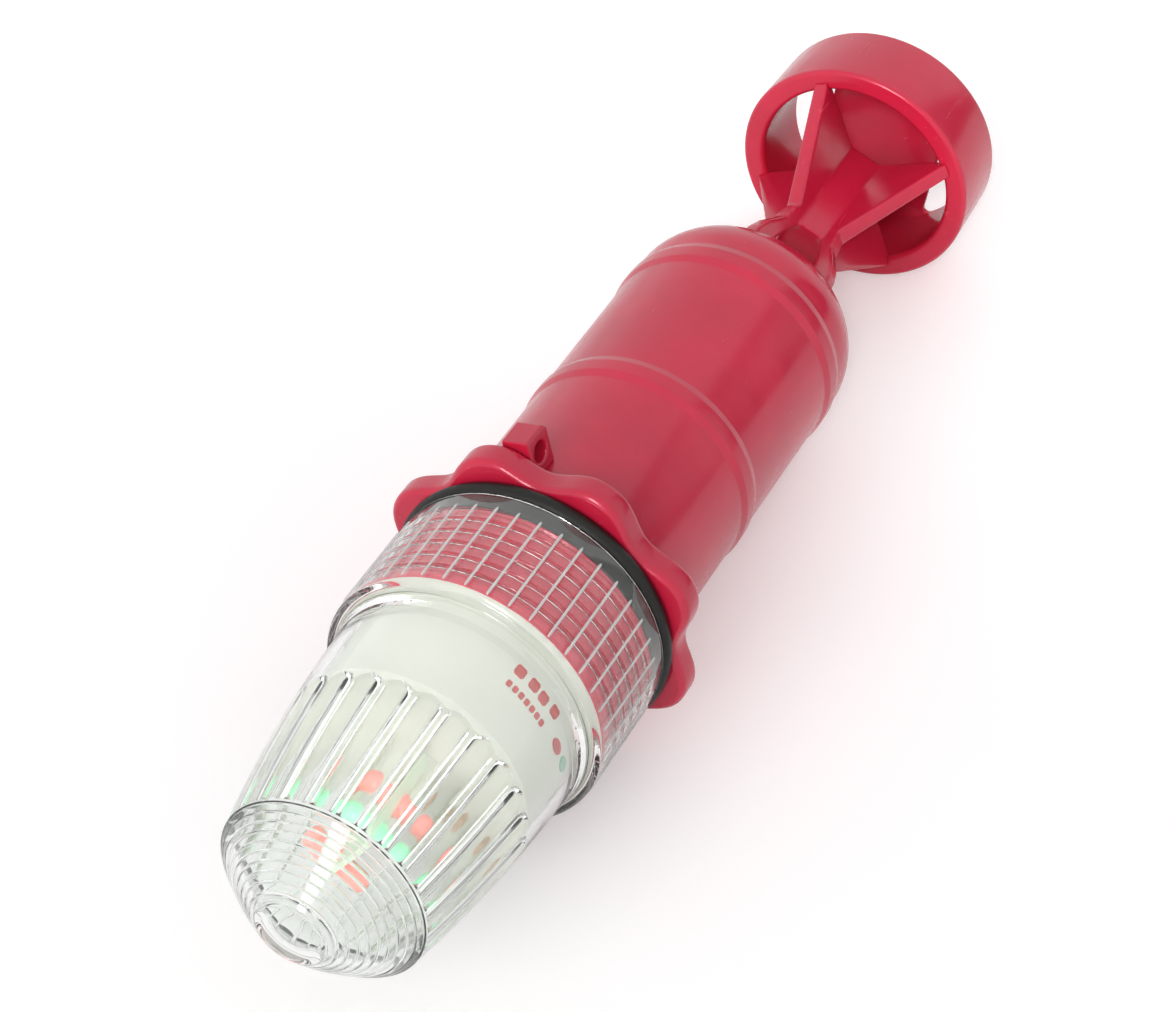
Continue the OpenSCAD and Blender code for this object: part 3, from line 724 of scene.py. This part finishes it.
def world():
    """A plain pale world. Gloss also sees a dark doorway on the right, beyond the tail,
    and a narrow window in front."""
    made = bpy.data.worlds.new("studio")
    scene.world = made
    made.use_nodes = True
    tree = made.node_tree
    tree.nodes.clear()

    def node(kind, **settings):
        n = tree.nodes.new("ShaderNode" + kind)
        for key, value in settings.items():
            setattr(n, key, value)
        return n

    def calc(operation, a, b=0.0):
        n = node("Math", operation=operation)
        for socket, v in zip(n.inputs, (a, b)):
            if isinstance(v, bpy.types.NodeSocket):
                tree.links.new(v, socket)
            else:
                socket.default_value = v
        return n.outputs[0]

    def ramp(value, low, high, new_low, new_high):
        n = node("MapRange", interpolation_type="SMOOTHSTEP")
        for socket, v in zip(n.inputs, (0, low, high, new_low, new_high)):
            socket.default_value = v
        tree.links.new(value, n.inputs[0])
        return n.outputs[0]

    place = node("TexCoord").outputs["Generated"]
    parts = node("SeparateXYZ")
    tree.links.new(place, parts.inputs[0])
    x, y, z = parts.outputs
    degrees = 57.2958
    round_about = calc("MULTIPLY", calc("ARCTAN2", y, x), degrees)
    height = calc("MULTIPLY", calc("ARCSINE", z), degrees)
    above = calc("SUBTRACT", height, calc("MULTIPLY", round_about, 2.3))
    dark = calc("MULTIPLY", ramp(round_about, 28.0, 31.0, 0.0, 1.0),
                ramp(round_about, 58.0, 62.0, 1.0, 0.0))
    dark = calc("MULTIPLY", dark, ramp(above, -97.0, -92.0, 1.0, 0.0))
    window = calc("MULTIPLY", ramp(x, -0.15, -0.11, 0.0, 1.0), ramp(x, 0.08, 0.12, 1.0, 0.0))
    for edge in ((z, 0.2, 0.26, 0.0, 1.0), (z, 0.6, 0.66, 1.0, 0.0), (y, -0.6, -0.5, 1.0, 0.0)):
        window = calc("MULTIPLY", window, ramp(*edge))
    shine = calc("SUBTRACT", 1.1, calc("MULTIPLY", dark, 1.06))
    shine = calc("ADD", shine, calc("MULTIPLY", window, 14.0))
    path = node("LightPath")
    gloss = path.outputs["Is Glossy Ray"]
    seen = path.outputs["Is Camera Ray"]
    through = path.outputs["Is Transmission Ray"]
    other = calc("SUBTRACT", 1.0, calc("MAXIMUM", gloss, calc("MAXIMUM", seen, through)))
    strength = calc("ADD", seen, calc("ADD", calc("MULTIPLY", other, 0.6),
                                      calc("MULTIPLY", through, 0.45)))
    strength = calc("ADD", strength, calc("MULTIPLY", gloss, shine))
    back = node("Background")
    back.inputs["Color"].default_value = (1.0, 0.99, 0.99, 1.0)
    tree.links.new(strength, back.inputs["Strength"])
    out = node("OutputWorld")
    tree.links.new(back.outputs[0], out.inputs["Surface"])


def lamp(name, place, target, size, watts, spread=180.0):
    data = bpy.data.lights.new(name, "AREA")
    data.size = size
    data.energy = watts
    data.spread = math.radians(spread)
    made = bpy.data.objects.new(name, data)
    scene.collection.objects.link(made)
    made.visible_glossy = False
    made.visible_transmission = False
    made.location = place
    made.rotation_euler = (Vector(target) - Vector(place)).to_track_quat("-Z", "Y").to_euler()
    return made


def camera():
    """The camera fitted to the photograph's round edges. Its focal length is in pixels
    of the photograph's width."""
    focal_px, photo_px, sensor_mm = 3510, 1176, 36.0
    axis = Vector((0.44631, -0.59653, 0.66706)).normalized()
    up = Vector((0, -math.cos(math.radians(44)), -math.sin(math.radians(44))))
    up = (up - up.dot(axis) * axis).normalized()
    side = axis.cross(up)
    seen = Matrix((side, axis, up)).transposed()
    at_flange = Vector((-0.4008, 0.7468, 27.2296)) * BODY_R * MM
    data = bpy.data.cameras.new("photo_camera")
    data.sensor_width = sensor_mm
    data.lens = focal_px / photo_px * sensor_mm
    data.clip_start, data.clip_end = 0.05, 20.0
    made = bpy.data.objects.new("photo_camera", data)
    scene.collection.objects.link(made)
    place = Vector((0, -TAIL_END * MM, 0)) - seen.transposed() @ at_flange
    right, down, ahead = seen[0], seen[1], seen[2]
    turn = Matrix((right, -down, -ahead)).transposed()
    made.matrix_world = Matrix.Translation(place) @ turn.to_4x4()
    scene.camera = made


floor()
world()
lamp("key", (-0.3, -2.82, 1.32), (0.0, -0.15, 0.0), 1.8, 47.0)
lamp("fill", (0.5, 0.5, 0.9), (0.0, -0.15, 0.0), 0.8, 0.9)
lamp("grid_spot", (0.3, -0.9, 0.78), (0.0, 0.05, 0.0), 0.2, 0.042, 9.0)
camera()
scene.view_settings.view_transform = "Standard"
